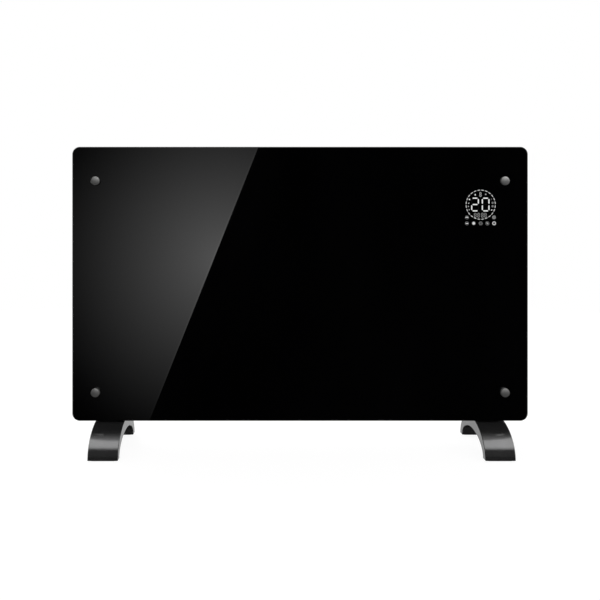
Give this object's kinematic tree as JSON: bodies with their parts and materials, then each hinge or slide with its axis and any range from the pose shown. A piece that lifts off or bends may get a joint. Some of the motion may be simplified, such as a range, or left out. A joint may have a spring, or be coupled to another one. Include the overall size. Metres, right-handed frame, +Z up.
{
  "type": "glass panel heater",
  "caption": "Black glass convector heater on arched feet, with a touch display behind the glass, a vented sheet metal casing and finned heating elements.",
  "frame": {"origin": "on the floor, under the middle of the footprint", "axes": "+X to the right seen from the front, +Y to the back, +Z up"},
  "size_m": [0.76, 0.2, 0.5074],
  "materials": {
    "black_glass": "polished, printed black on the back",
    "fixing_steel": "turned and brushed",
    "zinc_steel": "zinc plated",
    "washer_rubber": "black silicone",
    "spacer_plastic": "black heat resistant",
    "casing_paint": "black powder coat, fine texture",
    "grille_plastic": "black heat resistant, fine grain",
    "galvanised_sheet": "galvanised",
    "shield_sheet": "aluminised, bright",
    "element_metal": "extruded, heat tinted",
    "rod_steel": "annealed stainless",
    "insulator_ceramic": "unglazed steatite",
    "cutout_phenolic": "brown phenolic",
    "foot_metal": "dark anodised, satin",
    "foot_rubber": "black, moulded",
    "display_plastic": "black, light tight",
    "digit_plastic": "black face, milky segments",
    "touch_foam": "conductive foam",
    "circuit_board": "green solder mask",
    "relay_plastic": "black",
    "transformer_core": "varnished laminations",
    "capacitor_sleeve": "shrunk sleeve",
    "terminal_nylon": "natural nylon",
    "sensor_metal": "drawn cap",
    "clip_nylon": "natural nylon",
    "switch_plastic": "black",
    "rocker_plastic": "black with white marks",
    "tilt_plastic": "natural",
    "microswitch_plastic": "black",
    "pendulum_steel": "zinc plated",
    "gland_nylon": "black nylon"
  },
  "bodies": {
    "heater": {"glass_panel": "black_glass", "fixing_caps": "fixing_steel", "fixing_bolts": "zinc_steel", "plate_screws": "zinc_steel", "bracket_screws": "zinc_steel", "foot_screws": "zinc_steel", "foot_nut_plates": "zinc_steel", "board_screws": "zinc_steel", "box_screws": "zinc_steel", "tilt_screws": "zinc_steel", "board_pillars": "zinc_steel", "fixing_washers": "washer_rubber", "fixing_spacers": "spacer_plastic", "rear_casing": "casing_paint", "front_plate": "casing_paint", "outlet_grille": "grille_plastic", "partition_plate": "galvanised_sheet", "left_bracket": "galvanised_sheet", "right_bracket": "galvanised_sheet", "heat_shield": "shield_sheet", "lower_element": "element_metal", "upper_element": "element_metal", "lower_rod": "rod_steel", "upper_rod": "rod_steel", "element_insulators": "insulator_ceramic", "thermal_cutout": "cutout_phenolic", "left_foot": "foot_metal", "right_foot": "foot_metal", "foot_pads": "foot_rubber", "display_frame": "display_plastic", "control_box": "display_plastic", "digit_modules": "digit_plastic", "touch_pads": "touch_foam", "display_board": "circuit_board", "power_board": "circuit_board", "relays": "relay_plastic", "transformer": "transformer_core", "filter_capacitor": "capacitor_sleeve", "terminal_block": "terminal_nylon", "room_sensor": "sensor_metal", "sensor_clip": "clip_nylon", "switch_housing": "switch_plastic", "tilt_housing": "tilt_plastic", "tilt_microswitch": "microswitch_plastic", "cord_gland": "gland_nylon", "gland_nut": "gland_nylon"},
    "rocker": {"power_rocker": "rocker_plastic"},
    "pendulum": {"tilt_pendulum": "pendulum_steel"}
  },
  "joints": [
    {"name": "power_switch", "type": "hinge", "parent": "heater", "child": "rocker", "pos_m": [0.3475, 0.009, 0.115], "axis": [0, 1, 0], "range_deg": [0, 20]},
    {"name": "tip_over", "type": "hinge", "parent": "heater", "child": "pendulum", "pos_m": [0.27, 0.009, 0.087], "axis": [1, 0, 0], "range_deg": [-25, 25]}
  ]
}
